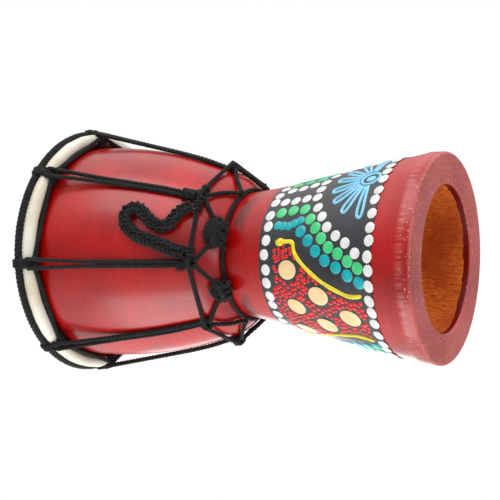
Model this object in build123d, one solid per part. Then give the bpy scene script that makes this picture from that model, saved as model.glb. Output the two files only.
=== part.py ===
"""Small rope-tuned djembe: a turned goblet shell, a rawhide head on two rings, and one black lacing cord.

Millimetres. +Z runs up the drum's axis to the head, and the origin is the centre of the flat foot.
Angles run round the axis from -Y towards +X.
"""
from build123d import *
import math
import os

os.makedirs("parts", exist_ok=True)

# ---- shell: a foot cone and a bowl that meet in a sharp neck ----
FOOT_R = 47.7            # outer radius of the foot
FOOT_BAND = 7.0          # upright edge band at the foot
FOOT_ROUND = 1.6         # rounding of the foot's outer corner
FOOT_HOLE_R = 33.2       # sound hole at the foot
HOLE_ROUND = 1.4         # rounding of the sound hole's mouth
CONE_H = 61.0            # height where the straight cone starts to curve into the neck
CONE_R = 36.2            # radius of the cone at that height
NECK_H = 98.4            # height of the neck's valley
NECK_R = 30.2            # radius in the valley
THROAT_R = 20.5          # bore through the neck
THROAT_H = 90.0          # height where the bore is narrowest
BOWL_H = 85.6            # from the valley up to the belly
BELLY_R = 53.7           # widest radius of the bowl
SIDE_ARC = 215.0         # radius of the bowl's long side curve
SHOULDER_H = 11.6        # height of the rounded underside of the bowl
BOWL_WALL = 7.0          # wall of the bowl at the belly
RIM_H = 15.35            # from the belly up to the bearing edge
RIM_ARC = 22.0           # curve of the bowl above the belly
LIP_R = 3.0              # rounded bearing edge

# ---- head ----
SKIN = 0.6               # rawhide
HOOP_D = 4.6             # flesh hoop, the ring that the skin is folded round
HOOP_OVER = 0.75         # how far the cord inside the hoop reaches in over the belly
HOOP_DROP = 8.6          # from the bearing edge down to the hoop's centre line
FOLD_END = 100.0         # where the fold ends on the hoop, degrees above the outside
CROWN_D = 4.0            # heavy cord seated in the fold above the hoop
CROWN_SLANT = 54.0       # direction from the hoop to the crown cord, degrees above level

# ---- lacing ----
CORD_D = 2.0             # lacing cord
POSTS = 8                # upright pairs round the drum
FIRST_POST = -6.6        # angle of the first pair
PAIR_TOP = 4.6           # distance between the two strands at the hoop
PAIR_GAP = 0.1           # gap between them where they run side by side
GATHERED = 0.3           # share of the free stretch in which the two strands close up
TOUCH = 0.28             # where a pair meets the bowl, as a share of the way from knot to rim
BEND = 0.13              # where it starts to bend over the shoulder, in the same way
PAIR_EASE = 0.3          # room under a pair where it lies on the bowl
HITCH_REACH = 0.3        # how far a pair runs on below the end of its hitch
KNOT_D = 5.6             # knot at the foot of each pair
KNOT_UP = 10.2           # from the valley up to the lower knots
RING_GAP = 0.48          # gap between the bowl and the middle of each stretch of the middle ring
RING_HOLD = 0.25         # share of a knot's diameter by which a ring stretch stops short of its middle
UNDER_OUT = 1.0          # the cords under the hoop lie this far outside its centre line
NET_KNEE = (0.24, 0.42)  # knee of the net: share of the pitch, and of the way from valley to knot
NET_GAP = 0.41           # gap between the knee and the bowl
NET_TURN = 0.05          # half width of the turn round the neck ring, as a share of the pitch
NET_ENTRY = (0.02, 0.36, 0.42)   # where a net strand enters a knot: share of the pitch, of KNOT_D out and down
NECK_SLACK = 0.25        # gap between the neck ring and the neck
FIT = 0.05               # gap between a cord and what it lies on

# ---- tied pieces ----
BALL_D = 4.4             # small stopper ball beside one knot
WHIP_L = 7.0             # length of the whipping on that pair
WHIP_GAP = 0.2           # gap between the knot and the whipping
WHIP_CORD = 0.95         # thickness of the whipping round the pair
WHIP_OUT = 0.75          # room between the bowl and the whipped strands
POMPOM = (16.4, 8.6, 9.6)    # wound ball knot: across, outwards, up
BLOCK = (11.4, 8.0, 9.8)     # square tie knot: across, outwards, up
TIE_OUT = 0.42           # middle of a tied knot outside the neck ring, as a share of its depth
TIE_UP = (0.12, 0.1)     # and above it, as a share of its height: the ball and the square one
LOOP_D = 4.4             # braid of the carry loop
EYE_D = 4.4              # eye that holds the loop on its strand
EYE_W = 3.0
EYE_GAP = 0.07           # radial running clearance of the eye
EYE_APART = 11.4         # from the strand's middle to each eye
LOOP_POST = 0            # the carry loop hangs between this post and the next

# Carry loop from eye to eye, as it lies on the bowl.
LOOP_ROUTE = [
    (21.8, -38.2, 111.3), (20.4, -40.2, 114.5), (17.5, -42.6, 117.0), (12.2, -45.0, 119.0),
    (12.2, -47.0, 125.3), (17.0, -47.1, 130.6), (21.3, -46.5, 135.6), (19.3, -48.7, 141.0),
    (13.0, -50.6, 140.4), (7.8, -50.3, 134.6), (5.2, -48.8, 127.4), (3.1, -47.0, 120.6),
    (0.6, -45.8, 114.6), (0.1, -44.1, 110.75),
]

# ---- worked out from the sizes above ----
BELLY_H = NECK_H + BOWL_H
RIM_TOP = BELLY_H + RIM_H
HEIGHT = RIM_TOP + FIT + SKIN
SIDE_C = BELLY_R - SIDE_ARC
SHOULDER_TOP = NECK_H + SHOULDER_H
PITCH = 360.0 / POSTS
HOOP_Z = RIM_TOP - HOOP_DROP
HOOP_SKIN_R = HOOP_D / 2 + FIT + SKIN
HOOP_R = BELLY_R + HOOP_SKIN_R + CORD_D - HOOP_OVER
CROWN_REACH = HOOP_SKIN_R + CROWN_D / 2 + FIT
CROWN_R = HOOP_R + CROWN_REACH * math.cos(math.radians(CROWN_SLANT))
CROWN_Z = HOOP_Z + CROWN_REACH * math.sin(math.radians(CROWN_SLANT))
KNOT_Z = NECK_H + KNOT_UP
PAIR_LOW = CORD_D + PAIR_GAP
LIFT = CORD_D / 2 + FIT


def save(shape, name):
    shape.label = name
    export_step(shape, "parts/" + name + ".step")


def spot(angle, radius, height, side=0.0):
    """A point given by its angle, radius and height, moved side along the tangent."""
    a = math.radians(angle)
    return Vector(
        radius * math.sin(a) + side * math.cos(a),
        -radius * math.cos(a) + side * math.sin(a),
        height,
    )


def polar(centre, radius, degrees):
    """A point of a circle in the (radius, height) plane."""
    a = math.radians(degrees)
    return (centre[0] + radius * math.cos(a), centre[1] + radius * math.sin(a))


def side_radius(height):
    """Radius of the bowl's long side curve."""
    return SIDE_C + math.sqrt(SIDE_ARC ** 2 - (height - BELLY_H) ** 2)


def shoulder_circle():
    """Centre and radius of the arc that leaves the side curve smoothly and ends in the valley."""
    join_r = side_radius(SHOULDER_TOP)
    inward = ((SIDE_C - join_r) / SIDE_ARC, (BELLY_H - SHOULDER_TOP) / SIDE_ARC)
    to_valley = (NECK_R - join_r, NECK_H - SHOULDER_TOP)
    square = to_valley[0] ** 2 + to_valley[1] ** 2
    radius = square / (2 * (to_valley[0] * inward[0] + to_valley[1] * inward[1]))
    return (join_r + radius * inward[0], SHOULDER_TOP + radius * inward[1]), radius


SHOULDER_C, SHOULDER_ARC = shoulder_circle()


def bowl_radius(height):
    """Outer radius of the bowl between the valley and the belly."""
    if height >= SHOULDER_TOP:
        return side_radius(min(height, BELLY_H))
    return SHOULDER_C[0] + math.sqrt(SHOULDER_ARC ** 2 - (height - SHOULDER_C[1]) ** 2)


def off_bowl(height, gap):
    """Radius of a point that stands gap off the bowl, square to its surface."""
    if height >= SHOULDER_TOP:
        return SIDE_C + math.sqrt((SIDE_ARC + gap) ** 2 - (height - BELLY_H) ** 2)
    return SHOULDER_C[0] + math.sqrt((SHOULDER_ARC + gap) ** 2 - (height - SHOULDER_C[1]) ** 2)


def lip_circle():
    """Centre of the bearing edge's rounding, tangent inside the rim curve, and the angle of the join."""
    centre_h = RIM_TOP - LIP_R
    reach = RIM_ARC - LIP_R
    rise = centre_h - BELLY_H
    centre_r = BELLY_R - RIM_ARC + math.sqrt(reach ** 2 - rise ** 2)
    return (centre_r, centre_h), math.degrees(math.asin(rise / reach))


LIP_C, LIP_JOIN = lip_circle()


def in_meridian(x, z):
    """A point of the (radius, height) plane, which is the XZ plane here."""
    return Vector(x, 0, z)


def arc(centre, radius, start, end):
    """Arc in the (radius, height) plane between two directions, in degrees."""
    a, m, b = (polar(centre, radius, d) for d in (start, (start + end) / 2, end))
    return ThreePointArc(in_meridian(*a), in_meridian(*m), in_meridian(*b))


def chain(*points):
    return Polyline(*[in_meridian(*p) for p in points])


def one_wire(pieces):
    """One wire from lines and arcs that meet end to end."""
    return Wire([edge for piece in pieces for edge in piece.edges()])


def lathe(pieces):
    """Solid of revolution from a closed outline in the (radius, height) plane."""
    return revolve(make_face(one_wire(pieces)), Axis.Z, 360)


def tube(points, diameter, share=0.45):
    """Cord along straight runs that are joined by arcs as large as the runs allow."""
    points = [Vector(*p) for p in points]
    radii = []
    for a, b, c in zip(points, points[1:], points[2:]):
        turn = math.radians((b - a).get_angle(c - b))
        radii.append(share * min((b - a).length, (c - b).length) / math.tan(turn / 2))
    path = FilletPolyline(*points, radius=radii) if radii else Line(*points)
    start = Plane(origin=path @ 0, z_dir=path % 0)
    return sweep(start * Circle(diameter / 2), path=path), path, radii


def ring(radius, height, diameter):
    return Pos(0, 0, height) * Torus(radius, diameter / 2)


def turned(angle):
    """Carries a piece drawn at angle 0 round to its own angle."""
    return Rot(0, 0, angle)


def shell_outline(grow=0.0):
    """Outer curve from the foot's corner to the bearing edge; grow moves it outwards."""
    band_r = FOOT_R + grow
    cone = math.hypot(CONE_R - FOOT_R, CONE_H - FOOT_BAND)
    slope = ((CONE_R - FOOT_R) / cone, (CONE_H - FOOT_BAND) / cone)
    straight = Line(in_meridian(band_r, FOOT_BAND), in_meridian(CONE_R + grow, CONE_H))
    neck = TangentArc(
        in_meridian(CONE_R + grow, CONE_H),
        in_meridian(NECK_R + grow, NECK_H),
        tangent=in_meridian(*slope),
    )
    shoulder_r = SHOULDER_ARC + grow
    across = polar(SHOULDER_C, shoulder_r, 0)[0]
    start = -math.degrees(math.acos((NECK_R + grow - SHOULDER_C[0]) / shoulder_r))
    join = math.degrees(math.atan2(SHOULDER_TOP - SHOULDER_C[1], side_radius(SHOULDER_TOP) - SHOULDER_C[0]))
    shoulder = arc(SHOULDER_C, shoulder_r, start, join)
    side = arc((SIDE_C, BELLY_H), SIDE_ARC + grow, join, 0)
    rim = arc((BELLY_R - RIM_ARC, BELLY_H), RIM_ARC + grow, 0, LIP_JOIN)
    valley = Line(neck @ 1, shoulder @ 0)
    return [straight, neck] + ([valley] if valley.length > 1e-4 else []) + [shoulder, side, rim]


def make_shell():
    outer = shell_outline()
    foot = [
        chain((FOOT_HOLE_R + HOLE_ROUND, 0), (FOOT_R - FOOT_ROUND, 0)),
        arc((FOOT_R - FOOT_ROUND, FOOT_ROUND), FOOT_ROUND, -90, 0),
        chain((FOOT_R, FOOT_ROUND), (FOOT_R, FOOT_BAND)),
    ]
    chamber_r = BELLY_R - BOWL_WALL
    lip_in = LIP_C[0] - LIP_R
    lip = [arc(LIP_C, LIP_R, LIP_JOIN, 180)]
    bore = [
        chain((lip_in, LIP_C[1]), (lip_in, LIP_C[1] - LIP_R)),
        ThreePointArc(
            in_meridian(lip_in, LIP_C[1] - LIP_R),
            in_meridian(chamber_r, BELLY_H - 0.4 * BOWL_H),
            in_meridian(THROAT_R, NECK_H + SHOULDER_H * 0.6),
        ),
        chain(
            (THROAT_R, NECK_H + SHOULDER_H * 0.6),
            (THROAT_R, THROAT_H),
            (FOOT_HOLE_R, HOLE_ROUND),
        ),
        arc((FOOT_HOLE_R + HOLE_ROUND, HOLE_ROUND), HOLE_ROUND, 180, 270),
    ]
    return lathe(foot + outer + lip + bore)


def make_skin():
    """Membrane over the bearing edge, with a skirt that goes down, under and round the flesh hoop."""
    low = LIP_R + FIT
    high = low + SKIN
    fold_in = HOOP_D / 2 + FIT
    fold_out = fold_in + SKIN
    hoop = (HOOP_R, HOOP_Z)
    reach = (HOOP_R - LIP_C[0], HOOP_Z - LIP_C[1])
    lean = math.degrees(math.atan2(reach[1], reach[0]))
    leave = lean + 90 - math.degrees(math.asin((low + fold_out) / math.hypot(*reach)))
    start = leave + 180
    end = 360 + FOLD_END
    skin = lathe([
        chain((0, LIP_C[1] + low), (LIP_C[0], LIP_C[1] + low)),
        arc(LIP_C, low, 90, leave),
        chain(polar(LIP_C, low, leave), polar(hoop, fold_out, start)),
        arc(hoop, fold_out, start, end),
        chain(polar(hoop, fold_out, end), polar(hoop, fold_in, end)),
        arc(hoop, fold_in, end, start),
        chain(polar(hoop, fold_in, start), polar(LIP_C, high, leave)),
        arc(LIP_C, high, leave, 90),
        chain((LIP_C[0], LIP_C[1] + high), (0, LIP_C[1] + high), (0, LIP_C[1] + low)),
    ])
    holes = []
    for post in range(POSTS):
        for way in (-0.5, 0.5):
            holes.append(turned(FIRST_POST + PITCH * post) * wrap(way * PAIR_TOP, CORD_D + FIT))
    return skin.cut(*holes)


def wrap_corners():
    """Directions in which a wrapped cord leaves the hoop and the crown cord, outside and inside."""
    hoop_wrap = HOOP_SKIN_R + FIT + CORD_D / 2
    crown_wrap = CROWN_D / 2 + FIT + CORD_D / 2
    spread = math.degrees(math.acos((hoop_wrap - crown_wrap) / CROWN_REACH))
    return hoop_wrap, crown_wrap, CROWN_SLANT - spread, CROWN_SLANT + spread


def wrap(side, diameter):
    """One turn of cord at angle 0: up the outside, over the crown cord, through the skin and under the hoop."""
    hoop_wrap, crown_wrap, outside, inside = wrap_corners()
    hoop = (HOOP_R, HOOP_Z)
    crown = (CROWN_R, CROWN_Z)
    path = one_wire([
        chain(polar(hoop, hoop_wrap, outside), polar(crown, crown_wrap, outside)),
        arc(crown, crown_wrap, outside, inside),
        chain(polar(crown, crown_wrap, inside), polar(hoop, hoop_wrap, inside)),
        arc(hoop, hoop_wrap, inside, 270),
    ])
    start = Plane(origin=path @ 0, z_dir=path % 0)
    strand = sweep(start * Circle(diameter / 2), path=path)
    return Rot(0, 0, -90) * (Pos(0, side, 0) * strand)


def knot_at(post):
    """Ball of the lower knot, resting on the bowl."""
    radius = off_bowl(KNOT_Z, KNOT_D / 2 + FIT)
    return Pos(*spot(FIRST_POST + PITCH * post, radius, KNOT_Z)) * Sphere(KNOT_D / 2)


def post_strands(post):
    """The two strands of one upright, from the hoop down along the bowl into the knot."""
    hoop_wrap, _, outside, _ = wrap_corners()
    top = polar((HOOP_R, HOOP_Z), hoop_wrap, outside)
    touch = KNOT_Z + TOUCH * (RIM_TOP - KNOT_Z)
    bend = KNOT_Z + BEND * (RIM_TOP - KNOT_Z)
    gather = top[1] - GATHERED * (top[1] - touch)
    touch_r = off_bowl(touch, LIFT + PAIR_EASE)
    gather_r = touch_r + (top[0] - touch_r) * (gather - touch) / (top[1] - touch)
    angle = FIRST_POST + PITCH * post
    strands = []
    for way in (-0.5, 0.5):
        strand, _, _ = tube(
            [
                spot(angle, top[0] - 2 * FIT, top[1] - HITCH_REACH, way * PAIR_TOP),
                spot(angle, gather_r, gather, way * PAIR_LOW),
                spot(angle, touch_r, touch, way * PAIR_LOW),
                spot(angle, off_bowl(bend, LIFT + PAIR_EASE), bend, way * PAIR_LOW),
                spot(angle, off_bowl(KNOT_Z, LIFT + 2 * FIT), KNOT_Z, way * PAIR_LOW),
            ],
            CORD_D,
        )
        strands.append(strand)
    return strands


def under_hoop_cord(post):
    """Straight cord under the hoop from one pair's wraps to the next."""
    height = HOOP_Z - HOOP_SKIN_R - CORD_D / 2 - 4 * FIT
    radius = HOOP_R + UNDER_OUT
    clear = PAIR_TOP / 2 + CORD_D / 2 + 2 * FIT
    here = FIRST_POST + PITCH * post
    strand, _, _ = tube([spot(here, radius, height, clear), spot(here + PITCH, radius, height, -clear)], CORD_D)
    return strand


def ring_turn_radius():
    """Radius at which the middle ring turns at each lower knot, so that each straight stretch clears the bowl."""
    return (bowl_radius(KNOT_Z) + CORD_D / 2 + RING_GAP) / math.cos(math.radians(PITCH / 2))


def middle_strand(post):
    """Straight stretch of the middle ring, from inside one lower knot to inside the next."""
    here = FIRST_POST + PITCH * post
    start = spot(here, ring_turn_radius(), KNOT_Z)
    end = spot(here + PITCH, ring_turn_radius(), KNOT_Z)
    held = (end - start).normalized() * (RING_HOLD * KNOT_D)
    strand, _, _ = tube([start + held, end - held], CORD_D)
    return strand


def neck_ring_place():
    """Radius and height of the cord that lies in the valley, tight under the shoulder."""
    radius = NECK_R + CORD_D / 2 + NECK_SLACK
    return radius, under_shoulder(radius)


def under_shoulder(radius):
    """Height at which a cord of this radius round the axis just clears the underside of the shoulder."""
    return SHOULDER_C[1] - math.sqrt((SHOULDER_ARC + LIFT + FIT) ** 2 - (radius - SHOULDER_C[0]) ** 2)


def net_strand(post):
    """One V of the net: from a lower knot down round the neck ring and up to the next knot."""
    here = FIRST_POST + PITCH * post
    half = here + PITCH / 2
    ring_r, ring_z = neck_ring_place()
    low_r = ring_r + CORD_D + FIT
    low_z = min(ring_z, under_shoulder(low_r))
    knee_share, knee_up = NET_KNEE
    knee_z = NECK_H + knee_up * KNOT_UP
    knee_r = off_bowl(knee_z, CORD_D / 2 + NET_GAP)
    entry, out, down = NET_ENTRY
    knot_r = off_bowl(KNOT_Z, out * KNOT_D)
    entry_z = KNOT_Z - down * KNOT_D
    under_share = (knee_share + 0.5 - NET_TURN) / 2
    under_z = (knee_z + low_z) / 2
    under_r = off_bowl(under_z, CORD_D / 2 + NET_GAP)
    strand, _, _ = tube(
        [
            spot(here + entry * PITCH, knot_r, entry_z),
            spot(here + knee_share * PITCH, knee_r, knee_z),
            spot(here + under_share * PITCH, under_r, under_z),
            spot(half - NET_TURN * PITCH, low_r, low_z),
            spot(half + NET_TURN * PITCH, low_r, low_z),
            spot(here + (1 - under_share) * PITCH, under_r, under_z),
            spot(here + (1 - knee_share) * PITCH, knee_r, knee_z),
            spot(here + (1 - entry) * PITCH, knot_r, entry_z),
        ],
        CORD_D,
    )
    return strand


def tied_knot(post, size):
    """Wound knot over the neck ring, halfway between two posts, bedded against the valley."""
    across, out, up = size
    ring_r, ring_z = neck_ring_place()
    centre = spot(FIRST_POST + PITCH * (post + 0.5), ring_r + TIE_OUT * out, ring_z + TIE_UP[0] * up)
    lump = scale(Sphere(0.5), (across, out, up))
    return Pos(*centre) * (turned(FIRST_POST + PITCH * (post + 0.5)) * lump)


def block_knot(post, size):
    """Square tie knot over the neck ring."""
    across, out, up = size
    ring_r, ring_z = neck_ring_place()
    centre = spot(FIRST_POST + PITCH * (post + 0.5), ring_r + TIE_OUT * out, ring_z + TIE_UP[1] * up)
    lump = fillet(Box(across, out, up).edges(), 0.3 * out)
    return Pos(*centre) * (turned(FIRST_POST + PITCH * (post + 0.5)) * lump)


def loop_axis():
    """Middle and direction of the strand that the carry loop turns on."""
    here = FIRST_POST + PITCH * LOOP_POST
    start = spot(here, ring_turn_radius(), KNOT_Z)
    end = spot(here + PITCH, ring_turn_radius(), KNOT_Z)
    return (start + end) * 0.5, (end - start).normalized()


def make_eye(way):
    """Eye of the carry loop: a short sleeve that turns on the strand."""
    middle, along = loop_axis()
    sleeve = Cylinder(EYE_D / 2, EYE_W) - Cylinder(CORD_D / 2 + EYE_GAP, EYE_W)
    return Plane(origin=middle + along * (way * EYE_APART), z_dir=along) * sleeve


def stopper_beside(post):
    """Small ball knot tied on the middle ring, close beside a lower knot."""
    away = math.degrees((KNOT_D + BALL_D) / 2 / off_bowl(KNOT_Z, KNOT_D / 2))
    angle = FIRST_POST + PITCH * post + away
    return Pos(*spot(angle, off_bowl(KNOT_Z, BALL_D / 2 + 2 * FIT), KNOT_Z)) * Sphere(BALL_D / 2)


def make_whipping(post):
    """Whipping bound round both strands of a pair, just above its knot."""
    angle = FIRST_POST + PITCH * post
    low = KNOT_Z + KNOT_D / 2 + WHIP_GAP
    mid = low + WHIP_L / 2
    slope = bowl_radius(low + WHIP_L) - bowl_radius(low)
    up = spot(angle, slope, WHIP_L).normalized()
    centre = spot(angle, bowl_radius(mid) + CORD_D / 2 + WHIP_OUT, mid)
    outline = SlotOverall(PAIR_LOW + CORD_D + 2.5 * WHIP_CORD, CORD_D + 2 * WHIP_CORD)
    frame = Plane(origin=centre, x_dir=spot(angle, 0, 0, 1), z_dir=up)
    return extrude(frame * outline, WHIP_L / 2, both=True)


def trim(piece, *others):
    for other in others:
        piece = piece - other
    return piece


def solids_of(shapes):
    return Compound(children=[s for shape in shapes for s in shape.solids()])


def build():
    made = {}
    made["shell"] = make_shell()
    made["drum_skin"] = make_skin()
    made["flesh_hoop"] = ring(HOOP_R, HOOP_Z, HOOP_D)
    made["crown_cord"] = ring(CROWN_R, CROWN_Z, CROWN_D)

    knots = [knot_at(post) for post in range(POSTS)]
    pompom = tied_knot(LOOP_POST, POMPOM)
    block = block_knot(LOOP_POST - 1, BLOCK)
    tied = [pompom, block]
    room = lathe(shell_outline(2 * FIT) + [chain(
        polar((BELLY_R - RIM_ARC, BELLY_H), RIM_ARC + 2 * FIT, LIP_JOIN),
        (0, RIM_TOP - LIP_R), (0, FOOT_BAND), (FOOT_R + 2 * FIT, FOOT_BAND),
    )])

    ring_r, ring_z = neck_ring_place()
    neck = ring(ring_r, ring_z, CORD_D)
    made["neck_ring_cord"] = trim(neck, *tied)

    tied_post = (LOOP_POST + 1) % POSTS
    stopper = stopper_beside(tied_post)
    under = []
    for post in range(POSTS):
        name = "_" + str(post + 1)
        near = [knots[post], knots[(post + 1) % POSTS]]
        strands = [trim(s, knots[post]) for s in post_strands(post)]
        made["upright_pair" + name] = solids_of(strands)
        turns = [turned(FIRST_POST + PITCH * post) * wrap(way * PAIR_TOP, CORD_D) for way in (-0.5, 0.5)]
        made["hoop_hitch" + name] = solids_of(turns)
        made["lower_knot" + name] = knots[post]
        made["middle_ring_strand" + name] = trim(middle_strand(post), *near, stopper)
        made["net_strand" + name] = trim(net_strand(post), *near, *tied, stopper)
        under.append(under_hoop_cord(post))
    made["under_hoop_cords"] = solids_of(under)

    made["wound_ball_knot"] = trim(pompom, room)
    made["square_tie_knot"] = trim(block, room)
    whipping = trim(make_whipping(tied_post), room, knots[tied_post], *post_strands(tied_post))
    made["whipping"] = whipping
    made["stopper_ball"] = trim(stopper, knots[tied_post], whipping, room, *post_strands(tied_post))

    made["carry_loop_eyes"] = solids_of([make_eye(-1), make_eye(1)])
    loop, path, radii = tube(LOOP_ROUTE, LOOP_D)
    made["carry_loop"] = loop
    print("carry loop length %.1f, radii %s" % (path.length, [round(r, 1) for r in radii]))
    print("volume %.1f, section times length %.1f" % (loop.volume, math.pi * LOOP_D ** 2 / 4 * path.length))
    middle, along = loop_axis()
    print("loop axis", middle, along)
    return made


for node, shape in build().items():
    save(shape, node)
print("height %.2f" % HEIGHT)
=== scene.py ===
"""Small rope-tuned djembe: a turned and lacquered goblet shell, a rawhide head, and one black lacing cord.

Metres. +Z runs up the drum's axis to the head, and the foot stands on z = 0.
"""
import math
import random

import bmesh
import bpy
from mathutils import Matrix, Vector, noise


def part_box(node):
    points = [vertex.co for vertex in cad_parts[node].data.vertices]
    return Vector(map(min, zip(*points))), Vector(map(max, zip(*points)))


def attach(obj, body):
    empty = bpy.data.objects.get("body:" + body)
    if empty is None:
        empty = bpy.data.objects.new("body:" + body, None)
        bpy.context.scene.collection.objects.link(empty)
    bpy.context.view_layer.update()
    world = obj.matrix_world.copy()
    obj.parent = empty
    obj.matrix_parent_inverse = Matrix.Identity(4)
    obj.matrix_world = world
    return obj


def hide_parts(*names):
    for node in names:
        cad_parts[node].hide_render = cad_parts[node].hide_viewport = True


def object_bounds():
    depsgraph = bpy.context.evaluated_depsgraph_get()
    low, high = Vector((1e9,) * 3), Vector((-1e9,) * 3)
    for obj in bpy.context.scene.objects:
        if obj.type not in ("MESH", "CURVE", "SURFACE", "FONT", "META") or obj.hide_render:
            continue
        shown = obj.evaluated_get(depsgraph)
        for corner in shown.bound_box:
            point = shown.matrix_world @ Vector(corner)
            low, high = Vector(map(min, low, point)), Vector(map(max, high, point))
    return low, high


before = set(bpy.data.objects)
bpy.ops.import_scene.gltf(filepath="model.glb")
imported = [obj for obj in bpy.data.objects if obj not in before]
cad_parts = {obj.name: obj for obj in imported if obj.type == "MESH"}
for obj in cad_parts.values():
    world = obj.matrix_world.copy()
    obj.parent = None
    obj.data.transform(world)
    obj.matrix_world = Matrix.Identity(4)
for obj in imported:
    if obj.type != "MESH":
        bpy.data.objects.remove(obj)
cad_low, cad_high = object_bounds()

# --------------------
# Studio. A plain pale floor that the drum stands on, white surroundings, and
# soft boxes. The camera looks up past the drum's foot from low in front, with
# the drum's axis lying across the picture.
HEIGHT = cad_high.z - cad_low.z
MIDDLE = Vector((0.0, 0.0, 0.5 * HEIGHT))
UP = Vector((0.0, 0.0, 1.0))
WHITE = (1.0, 1.0, 1.0, 1.0)
SAME = 1e-6
LENS, SENSOR = 79.13, 36.0
CAMERA_BACK, CAMERA_DOWN = 2.346, 0.801
FLOOR_GREY, FLOOR_REACH, FLOOR_GLOW = 0.90, 9.0, 0.35
SKY_SIDES, SKY_SPAN = (0.31, 1.12), (0.20, 0.85)

camera = bpy.data.objects.new("camera", bpy.data.cameras.new("camera"))
bpy.context.scene.collection.objects.link(camera)
camera.data.sensor_width = SENSOR
camera.data.lens = LENS
camera.data.clip_start = 0.05
camera.data.clip_end = 20.0
PAN, TILT, ROLL = 0.5078, 0.0039, -0.0236
ahead, right, upward = Vector((0, 1, 0)), Vector((0, 0, -1)), Vector((1, 0, 0))
for turn, about in ((PAN, 2), (TILT, 1), (ROLL, 0)):
    axis = (ahead, right, upward)[about]
    spin = Matrix.Rotation(turn, 3, axis)
    ahead, right, upward = spin @ ahead, spin @ right, spin @ upward
sight = Matrix((right, upward, -ahead)).transposed().to_4x4()
camera.matrix_world = Matrix.Translation((0.0, -CAMERA_BACK * HEIGHT, -CAMERA_DOWN * HEIGHT)) @ sight
bpy.context.scene.camera = camera
bpy.context.scene.view_settings.view_transform = "Standard"


def add(tree, kind, inputs=(), **settings):
    """A new shader node; an input is given as a value or as the socket that feeds it."""
    made = tree.nodes.new("ShaderNode" + kind)
    for key, value in settings.items():
        setattr(made, key, value)
    for key, value in dict(inputs).items():
        if isinstance(value, bpy.types.NodeSocket):
            tree.links.new(value, made.inputs[key])
        else:
            made.inputs[key].default_value = value
    return made


surroundings = bpy.data.worlds.new("surroundings")
bpy.context.scene.world = surroundings
surroundings.use_nodes = True
sky = surroundings.node_tree
seen = sky.nodes["Background"]
seen.inputs["Color"].default_value = WHITE
seen.inputs["Strength"].default_value = 1.0
facing = add(sky, "SeparateXYZ", {"Vector": add(sky, "TexCoord").outputs["Generated"]})
aside = add(sky, "Math", {0: facing.outputs["X"]}, operation="ABSOLUTE")
paler = add(sky, "MapRange", {
    "Value": aside.outputs[0], "From Min": SKY_SPAN[0], "From Max": SKY_SPAN[1],
    "To Min": SKY_SIDES[0], "To Max": SKY_SIDES[1],
})
lit = add(sky, "Background", {"Color": WHITE, "Strength": paler.outputs[0]})
ray = add(sky, "LightPath")
either = add(sky, "MixShader", {
    0: ray.outputs["Is Camera Ray"],
    1: lit.outputs[0],
    2: seen.outputs[0],
})
sky.links.new(either.outputs[0], sky.nodes["World Output"].inputs["Surface"])


# Square soft lights that face the middle of the drum: place, size and power.
for name, place, size, power in (
    ("key_light", (0.66, -0.36, 0.20), 0.60, 2.4),
    ("low_light", (-0.70, -0.26, 0.14), 0.60, 2.9),
    ("foot_light", (0.16, -0.30, -0.70), 0.50, 1.4),
    ("top_light", (-0.10, 0.35, 0.85), 0.60, 2.4),
    ("back_light", (-0.25, 0.75, 0.35), 0.50, 1.6),
):
    lamp = bpy.data.lights.new(name, "AREA")
    lamp.size = size
    lamp.energy = power
    box = bpy.data.objects.new(name, lamp)
    box.location = place
    box.rotation_euler = (MIDDLE - Vector(place)).to_track_quat("-Z", "Y").to_euler()
    bpy.context.scene.collection.objects.link(box)

ground = bpy.data.materials.new("pale_floor")
ground.use_nodes = True
tree = ground.node_tree
surface = tree.nodes["Principled BSDF"]
surface.inputs["Base Color"].default_value = (FLOOR_GREY, FLOOR_GREY, FLOOR_GREY, 1.0)
surface.inputs["Roughness"].default_value = 0.85
surface.inputs["Emission Color"].default_value = WHITE
surface.inputs["Emission Strength"].default_value = FLOOR_GLOW
either = add(tree, "MixShader", {
    0: add(tree, "NewGeometry").outputs["Backfacing"],
    1: surface.outputs[0],
    2: add(tree, "BsdfTransparent").outputs[0],
})
tree.links.new(either.outputs[0], tree.nodes["Material Output"].inputs["Surface"])
bm = bmesh.new()
bmesh.ops.create_grid(bm, x_segments=1, y_segments=1, size=FLOOR_REACH)
floor_mesh = bpy.data.meshes.new("floor")
bm.to_mesh(floor_mesh)
bm.free()
floor_mesh.materials.append(ground)
floor = bpy.data.objects.new("floor", floor_mesh)
floor.visible_shadow = False
floor.visible_diffuse = False
floor.visible_glossy = False
bpy.context.scene.collection.objects.link(floor)

# --------------------
# Shell. One block of hardwood turned to a goblet, bored through the neck,
# sanded and lacquered red outside; the bore is left raw.
FOOT_R = 0.0477
FOOT_BAND = 0.0070
FOOT_ROUND = 0.0016
FOOT_DRAFT, FOOT_EASE = 0.0001, 0.0004
FOOT_HOLE_R = 0.0332
HOLE_ROUND = 0.0014
CONE_R, CONE_H = 0.0362, 0.0610
NECK_R, NECK_H = 0.0302, 0.0984
THROAT_R, THROAT_H = 0.0205, 0.0900
BELLY_R, BELLY_H = 0.0537, 0.1840
SIDE_ARC = 0.2150
SHOULDER_TOP = 0.1100
SHOULDER_C, SHOULDER_ARC = (0.02076, 0.11726), 0.02109
CHAMBER_R, CHAMBER_H = 0.0467, 0.1498
RIM_ARC = 0.0220
LIP_C, LIP_R = (0.04614, 0.19635), 0.0030
THROAT_TOP = (THROAT_R, 0.10536)
SHELL_STEPS = 160


def polar(centre, radius, degrees):
    """A point of a circle in the (radius, height) plane."""
    a = math.radians(degrees)
    return (centre[0] + radius * math.cos(a), centre[1] + radius * math.sin(a))


def arc(centre, radius, start, end, count):
    """Points of an arc in the (radius, height) plane between two directions, in degrees."""
    return [polar(centre, radius, start + (end - start) * i / count) for i in range(count + 1)]


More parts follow.
